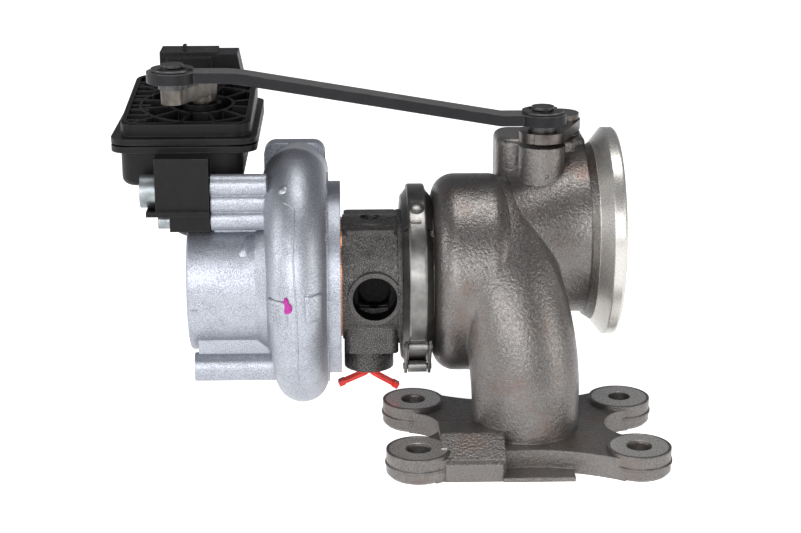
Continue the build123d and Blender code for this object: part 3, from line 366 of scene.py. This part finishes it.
def black_steel():
    """Black-phosphated rod with a painted highlight on its upper face, and edges rubbed to grey that also
    carry a painted highlight.
    """
    look = Look("black_steel", 0.0, (0.006, 0.006, 0.007), 0.4)
    look.set("Specular IOR Level", 0.25)
    skin = look.grain(1.1, 2.0)
    dust = look.grain(6.0, 4.0, 0.6)
    # Edges rubbed to grey, partly a painted highlight, broken up by the dust.
    edge = look.maths("MULTIPLY", look.edge_wear_and_highlight(0.45), look.spread(dust, 0.35, 0.6))
    colour = look.blend(look.spread(dust, 0.4, 0.75), (0.003, 0.003, 0.004), (0.008, 0.008, 0.010))
    # Painted highlight: faces that look up are made lighter, as if lit from above.
    colour = look.blend(look.facing_up(), colour, (0.085, 0.083, 0.080))
    colour = look.blend(edge, colour, (0.16, 0.155, 0.15))
    rough = look.spread(dust, 0.3, 0.7, 0.34, 0.48)
    look.soften(0.4)
    look.relief(skin, 0.03)
    return look.finish(colour, rough)


def steel(name, dark, light, rough_low, rough_high, size):
    """Machined, plated or phosphated steel: the two colours cloud together over fine tool marks."""
    look = Look(name, 1.0, dark, rough_low)
    marks = look.grain(size, 2.0, 0.6)
    clouds = look.grain(4.5, 3.0)
    colour = look.blend(look.spread(clouds, 0.35, 0.68), dark, light)
    rough = look.spread(marks, 0.3, 0.7, rough_low, rough_high)
    look.soften(0.3)
    look.relief(marks, 0.015)
    return look.finish(colour, rough)


def nickel_alloy():
    look = Look("nickel_alloy", 0.95, (0.28, 0.265, 0.25), 0.4)
    skin = look.grain(0.5, 2.0)
    heat = look.grain(8.0, 3.0)
    colour = look.blend(look.spread(heat, 0.35, 0.7), (0.24, 0.22, 0.20), (0.36, 0.34, 0.32))
    look.soften(0.3)
    look.relief(skin, 0.05)
    return look.finish(colour, look.spread(skin, 0.3, 0.7, 0.3, 0.46))


def moulded(name, dark, light, rough_low, rough_high, grain_depth, gloss=0.5, edge_highlight=2.5):
    """Moulded plastic: glass-fibre flow marks over a fine spark-eroded grain, with a painted highlight
    along the edges.
    """
    look = Look(name, 0.0, dark, rough_low)
    look.set("Specular IOR Level", gloss)
    flow = look.grain(7.0, 4.0, 0.6, warp=1.2, stretch=(1.0, 0.35, 1.0))
    grain = look.grain(0.3, 2.0, 0.6)
    scuffs = look.spread(look.cells(5.0, "DISTANCE_TO_EDGE"), 0.0, 0.02, 1.0, 0.0)
    colour = look.blend(look.spread(flow, 0.35, 0.7), dark, light)
    # Painted highlight: the edges are made paler than the lighter colour by the given factor.
    edge = look.maths("MULTIPLY", look.edge_wear_and_highlight(0.5), look.spread(flow, 0.25, 0.7, 0.25, 0.9))
    colour = look.blend(edge, colour, [min(0.9, edge_highlight * part) for part in light])
    rough = look.spread(flow, 0.3, 0.7, rough_low, rough_high)
    rough = look.between(look.maths("MULTIPLY", scuffs, 0.15), rough, 0.3)
    look.soften(0.5)
    look.relief(grain, grain_depth)
    return look.finish(colour, rough)


def winding():
    """Enamelled copper wire."""
    look = Look("copper", 1.0, (0.42, 0.18, 0.09), 0.3)
    turns = look.grain(0.5, 1.0, 0.4, stretch=(0.1, 0.1, 2.0))
    colour = look.blend(look.spread(turns, 0.35, 0.65), (0.30, 0.12, 0.06), (0.52, 0.24, 0.13))
    look.relief(turns, 0.05)
    return look.finish(colour, look.spread(turns, 0.3, 0.7, 0.22, 0.4))


def marker_paint():
    """Thick magenta inspection paint, a little cloudy."""
    look = Look("marker_paint", 0.0, (0.32, 0.004, 0.20), 0.3)
    pool = look.grain(1.6, 3.0)
    colour = look.blend(pool, (0.22, 0.002, 0.14), (0.45, 0.008, 0.30))
    look.relief(pool, 0.08)
    return look.finish(colour, look.spread(pool, 0.3, 0.7, 0.22, 0.4))


def make_looks():
    """One material for each slot of the record, and the marker paint.

    The metals' values are two colours, two roughnesses and the size of the tool marks. The
    plastics' are two colours, two roughnesses, the grain's depth, the gloss and how many times
    paler than the lighter colour the painted highlight on the edges is.
    """
    plain = {
        "bare_steel": ((0.075, 0.067, 0.059), (0.14, 0.127, 0.113), 0.26, 0.42, 0.3),
        "dark_steel": ((0.06, 0.06, 0.062), (0.11, 0.108, 0.105), 0.36, 0.5, 0.4),
        "zinc_steel": ((0.20, 0.22, 0.23), (0.33, 0.35, 0.355), 0.32, 0.5, 0.45),
        "bronze": ((0.55, 0.36, 0.16), (0.68, 0.47, 0.24), 0.24, 0.4, 0.35),
        "magnet": ((0.10, 0.10, 0.105), (0.15, 0.15, 0.155), 0.3, 0.45, 0.6),
    }
    plastics = {
        "black_plastic": ((0.0030, 0.0026, 0.0027), (0.0065, 0.0058, 0.0057), 0.38, 0.5, 0.035, 0.2, 14.0),
        "gear_plastic": ((0.55, 0.52, 0.44), (0.68, 0.65, 0.57), 0.35, 0.45, 0.02),
        "red_plastic": ((0.62, 0.012, 0.008), (0.80, 0.03, 0.015), 0.25, 0.34, 0.01),
        "seal_rubber": ((0.015, 0.015, 0.015), (0.03, 0.03, 0.03), 0.55, 0.7, 0.03),
        "circuit_green": ((0.01, 0.10, 0.035), (0.02, 0.16, 0.06), 0.3, 0.42, 0.01),
    }
    looks = {
        "cast_steel": cast_steel(),
        "cast_iron_centre": cast_iron_centre(),
        "cast_aluminium": cast_aluminium(),
        "machined_aluminium": machined_aluminium(),
        "stainless": stainless(),
        "black_steel": black_steel(),
        "nickel_alloy": nickel_alloy(),
        "copper": winding(),
        "marker_paint": marker_paint(),
    }
    for name, values in plain.items():
        looks[name] = steel(name, *values)
    for name, values in plastics.items():
        looks[name] = moulded(name, *values)
    return looks


LOOKS = make_looks()
for part in RECORD["subparts"]:
    for slot in NODES[part["node"]].material_slots:
        slot.material = LOOKS[part["material_slot"]]


# ---------------------------------------------------------------- raised details on the CAD's surfaces
# The places and headings of these marks, and the points of the seam and the dot row, are measured
# values in millimetres. They aren't worked out from the frame.
# Sections of a raised area: share of the way from its centre to its outline, share of its lift.
FLAT_TOP = ((0.0, 1.0), (0.5, 1.0), (0.80, 1.0), (0.90, 0.85), (0.96, 0.45), (1.0, -0.4))
DOME = ((0.0, 1.0), (0.35, 0.93), (0.65, 0.72), (0.85, 0.42), (1.0, -0.2))
SOFT_DOME = ((0.0, 1.0), (0.25, 0.96), (0.5, 0.80), (0.75, 0.45), (0.9, 0.15), (1.0, -0.05))
PAINT_EDGE = ((0.0, 1.0), (0.6, 1.0), (0.9, 0.9), (1.0, 0.3))


def circle(radius, count=20):
    turns = [math.tau * number / count for number in range(count)]
    return [(radius * math.cos(turn), radius * math.sin(turn)) for turn in turns]


def rectangle(width, height, corner, count=5):
    """A rectangle's outline with rounded corners."""
    points = []
    for number in range(4):
        start = math.radians(90 * number)
        side = 1 if number in (0, 3) else -1
        up = 1 if number in (0, 1) else -1
        for step in range(count):
            turn = start + math.radians(90) * step / (count - 1)
            across = side * (width / 2 - corner) + corner * math.cos(turn)
            points.append((across, up * (height / 2 - corner) + corner * math.sin(turn)))
    return points


class Raised:
    """Casting marks and beads that follow one CAD node's surface, gathered into one piece."""

    def __init__(self, name, node, look):
        source = NODES[node]
        corners = [source.matrix_world @ vertex.co for vertex in source.data.vertices]
        faces = [list(polygon.vertices) for polygon in source.data.polygons]
        self.skin = BVHTree.FromPolygons(corners, faces)
        self.name = name
        self.look = look
        self.mesh = bmesh.new()

    def fill(self, rows):
        """Faces between rows of vertices that each close on themselves."""
        for inner, outer in zip(rows, rows[1:]):
            for number in range(len(outer)):
                after = (number + 1) % len(outer)
                self.mesh.faces.new((inner[number], outer[number], outer[after], inner[after]))

    def area(self, centre, normal, outline, lift, profile=FLAT_TOP, reach=6.0):
        """Raises the surface inside an outline drawn on the plane through centre."""
        normal = Vector(normal).normalized()
        side = Vector((0, 0, 1)).cross(normal).normalized()
        up = normal.cross(side)
        rows = []
        for share, height in profile[1:]:
            row = []
            for across, along in outline:
                flat = Vector(centre) + (side * across + up * along) * share
                row.append(self.mesh.verts.new(self.drop(flat, normal, reach, lift * height)))
            rows.append(row)
        tip = self.mesh.verts.new(self.drop(Vector(centre), normal, reach, lift * profile[0][1]))
        for number in range(len(outline)):
            self.mesh.faces.new((tip, rows[0][number], rows[0][(number + 1) % len(outline)]))
        self.fill(rows)
        return self

    def drop(self, flat, normal, reach, lift):
        """The point on the surface under a point, lifted along the normal."""
        spot = self.skin.ray_cast((flat + normal * reach) * MM, -normal, 2.5 * reach * MM)[0]
        if spot is None:
            spot = self.skin.find_nearest(flat * MM)[0]
        return spot + normal * lift * MM

    def bead(self, points, radius, sink=0.0, steps=8):
        """A half-round bead along a smooth path that keeps to the surface."""
        path = smooth_path(points, steps)
        spots = [self.skin.find_nearest(point * MM) for point in path]
        rows = []
        for number, (spot, normal, _, _) in enumerate(spots):
            ahead = spots[min(number + 1, len(spots) - 1)][0] - spots[max(number - 1, 0)][0]
            side = normal.cross(ahead).normalized()
            end = number in (0, len(spots) - 1)
            size = radius * (0.3 if end else 1.0) * MM
            row = []
            for degrees in range(-110, 111, 44):
                turn = math.radians(degrees)
                offset = normal * math.cos(turn) + side * math.sin(turn)
                row.append(self.mesh.verts.new(spot - normal * sink * MM + offset * size))
            rows.append(row)
        for first, second in zip(rows, rows[1:]):
            for number in range(len(first) - 1):
                self.mesh.faces.new((first[number], second[number], second[number + 1], first[number + 1]))
        return self

    def done(self, body="housing"):
        bmesh.ops.recalc_face_normals(self.mesh, faces=self.mesh.faces)
        for face in self.mesh.faces:
            face.smooth = True
        data = bpy.data.meshes.new(self.name)
        self.mesh.to_mesh(data)
        self.mesh.free()
        data.materials.append(LOOKS[self.look])
        piece = bpy.data.objects.new(self.name, data)
        bpy.context.scene.collection.objects.link(piece)
        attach(piece, body)
        return piece


def smooth_path(points, steps):
    """Catmull-Rom points through a list of points."""
    points = [Vector(point) for point in points]
    padded = [2 * points[0] - points[1], *points, 2 * points[-1] - points[-2]]
    path = []
    for a, b, c, d in zip(padded, padded[1:], padded[2:], padded[3:]):
        for number in range(steps):
            t = number / steps
            bend = 2 * b + (c - a) * t + (2 * a - 5 * b + 4 * c - d) * t * t
            path.append((bend + (3 * b - a - 3 * c + d) * t ** 3) / 2)
    return path + [points[-1]]


def compressor_marks():
    """Parting seam, two casting pads with dots, a row of dots and three small lumps on the scroll."""
    marks = Raised("scroll_marks", "compressor_housing", "cast_aluminium")
    seam = [
        (-92.7, 1.7, 99.7), (-88.9, -1.1, 98.1), (-88.1, -3.3, 96.0), (-88.5, -11.5, 84.7),
        (-88.2, -15.5, 74.2), (-87.6, -17.0, 64.0), (-87.4, -16.8, 54.9), (-87.3, -13.4, 41.7),
        (-87.4, -2.5, 25.4),
    ]
    marks.bead(seam, 0.42, 0.12)
    pad = Vector((-95.2, -14.0, 60.8))
    pad_normal = (-0.59, -0.81, 0.0)
    marks.area(pad, pad_normal, rectangle(10.6, 10.8, 1.4), 1.1)
    marks.area((-80.9, -14.9, 62.9), (0.45, -0.89, 0.02), rectangle(8.2, 11.2, 1.4), 1.1)
    side = Vector((0.81, -0.59, 0.0))
    pitch = 1.5
    for row in range(5):
        for column in range(5):
            spot = pad + side * (column * pitch - 3.6) + Vector((0, 0, row * pitch - 3.0))
            marks.area(spot, pad_normal, circle(0.42, 8), 1.5, DOME)
    dot_row = [
        (-76.2, 20.8, 100.5), (-76.2, 13.5, 97.3), (-76.6, 6.2, 93.3), (-75.9, 3.8, 89.2),
        (-76.6, -1.6, 85.6),
    ]
    for number, spot in enumerate(smooth_path(dot_row, 5)):
        if number % 6 != 5:
            place, facing = marks.skin.find_nearest(spot * MM)[:2]
            marks.area(place / MM, facing, circle(0.5, 8), 0.45, DOME, reach=2.0)
    marks.area((-106.7, 13.8, 79.0), (-0.45, -0.85, 0.25), rectangle(3.6, 9.0, 1.7), 0.9, SOFT_DOME)
    marks.area((-92.4, 6.4, 103.0), (-0.2, -0.55, 0.8), circle(2.2), 0.8, SOFT_DOME)
    marks.bead([(-130.0, 6.0, 55.3), (-128.2, 6.0, 55.3), (-126.5, 5.9, 55.3)], 0.35)
    marks.done()


def paint_mark():
    """A dab of paint with a short neck on the front of the scroll."""
    paint = Raised("paint_mark", "compressor_housing", "marker_paint")
    dab = [
        (0.3, 3.3), (-0.5, 3.2), (-0.9, 2.3), (-1.2, 1.4), (-2.2, 0.6), (-2.7, -0.6), (-2.4, -1.9),
        (-1.4, -2.8), (0.1, -3.2), (1.5, -2.8), (2.4, -1.8), (2.6, -0.5), (2.0, 0.6), (1.2, 1.3),
        (0.9, 2.3),
    ]
    paint.area((-91.3, -16.3, 64.3), (-0.26, -0.96, 0.05), dab, 0.95, PAINT_EDGE)
    paint.done()


def turbine_marks():
    """Three pips that the mould left on the turbine housing."""
    marks = Raised("turbine_marks", "turbine_housing", "cast_steel")
    marks.area((10.0, 22.9, 103.3), (0.15, -0.99, 0.0), circle(0.9, 12), 0.5, DOME, reach=2.0)
    marks.area((-15.5, -3.4, 74.4), (-0.4, -0.9, 0.1), circle(0.7, 12), 0.4, DOME, reach=2.0)
    marks.area((-17.9, -9.2, 23.4), (-0.86, -0.51, -0.02), circle(0.8, 12), 0.45, DOME, reach=2.0)
    marks.done()


def clamp_marks():
    """Pressed dome and stop at the upper end of the clamp's front strap."""
    marks = Raised("clamp_marks", "clamp_strap_front", "stainless")
    marks.area((-41.4, 16.7, 92.9), (0.0, -0.45, 0.89), circle(3.6), 0.9, SOFT_DOME, reach=4.0)
    marks.area((-41.6, 10.6, 88.9), (0.0, -0.65, 0.76), rectangle(4.4, 0.9, 0.4), 0.6, reach=4.0)
    marks.done()


compressor_marks()
paint_mark()
turbine_marks()
clamp_marks()


# ---------------------------------------------------------------- floor, lights and camera
def floor():
    """A wide pale sheet under the flange's gasket face, level with the lowest point."""
    sheet = bpy.data.meshes.new("floor")
    corners = [(FLOOR_HALF * x, FLOOR_HALF * y, 0) for x, y in ((-1, -1), (1, -1), (1, 1), (-1, 1))]
    sheet.from_pydata(corners, [], [(0, 1, 2, 3)])
    piece = bpy.data.objects.new("floor", sheet)
    bpy.context.scene.collection.objects.link(piece)
    piece.location.z = cad_box[0][2] - 0.0002
    look = Look("pale_floor", 0.0, (0.86, 0.86, 0.86), 0.7)
    clouds = look.grain(300.0)
    shade = look.blend(clouds, (0.84, 0.84, 0.85), (0.87, 0.87, 0.87))
    look.set("Emission Color", (1.0, 1.0, 1.0, 1)).set("Emission Strength", FLOOR_GLOW)
    sheet.materials.append(look.finish(shade))


def soft_light(name, place, aim, size, power, tint=(1, 1, 1)):
    lamp = bpy.data.lights.new(name, "AREA")
    lamp.shape = "RECTANGLE"
    lamp.size, lamp.size_y = size
    lamp.energy = power
    lamp.color = tint
    piece = bpy.data.objects.new(name, lamp)
    piece.location = place
    piece.rotation_euler = (Vector(aim) - Vector(place)).to_track_quat("-Z", "Y").to_euler()
    bpy.context.scene.collection.objects.link(piece)


def studio():
    """Surroundings that darken from a grey horizon towards the ceiling."""
    world = bpy.data.worlds.new("studio")
    world.use_nodes = True
    tree = world.node_tree
    back = tree.nodes["Background"]
    place = tree.nodes.new("ShaderNodeTexCoord")
    parts = tree.nodes.new("ShaderNodeSeparateXYZ")
    fade = tree.nodes.new("ShaderNodeValToRGB")
    tree.links.new(place.outputs["Generated"], parts.inputs[0])
    tree.links.new(parts.outputs["Z"], fade.inputs[0])
    tree.links.new(fade.outputs["Color"], back.inputs["Color"])
    fade.color_ramp.elements[0].position = 0.0
    fade.color_ramp.elements[0].color = (*HORIZON, 1)
    fade.color_ramp.elements[1].position = 0.75
    fade.color_ramp.elements[1].color = (*CEILING, 1)
    back.inputs["Strength"].default_value = 1.0
    bpy.context.scene.world = world


def lights():
    centre = (-0.02, 0.03, 0.06)
    soft_light("key", (-0.35, -1.25, 0.60), centre, (1.3, 0.75), 15.0, (0.97, 0.98, 1.0))
    soft_light("side", (-1.2, -0.25, 0.5), centre, (0.5, 0.7), 5.0)
    soft_light("fill", (1.15, -0.55, 0.35), centre, (0.45, 0.8), 5.0, (1.0, 0.98, 0.95))
    soft_light("top", (0.05, 0.1, 1.2), centre, (0.5, 0.4), 5.0)


def camera():
    """Stands in front, looking down at the object and a little to the right."""
    lens = bpy.data.cameras.new("camera")
    lens.sensor_width = 36.0
    lens.lens = CAMERA_LENS
    lens.clip_start = 0.01
    piece = bpy.data.objects.new("camera", lens)
    piece.location = CAMERA_PLACE
    piece.rotation_euler = (math.radians(90.0 - CAMERA_DOWN), 0.0, math.radians(-CAMERA_RIGHT))
    bpy.context.scene.collection.objects.link(piece)
    bpy.context.scene.camera = piece


floor()
studio()
lights()
camera()
bpy.context.scene.view_settings.view_transform = "Standard"
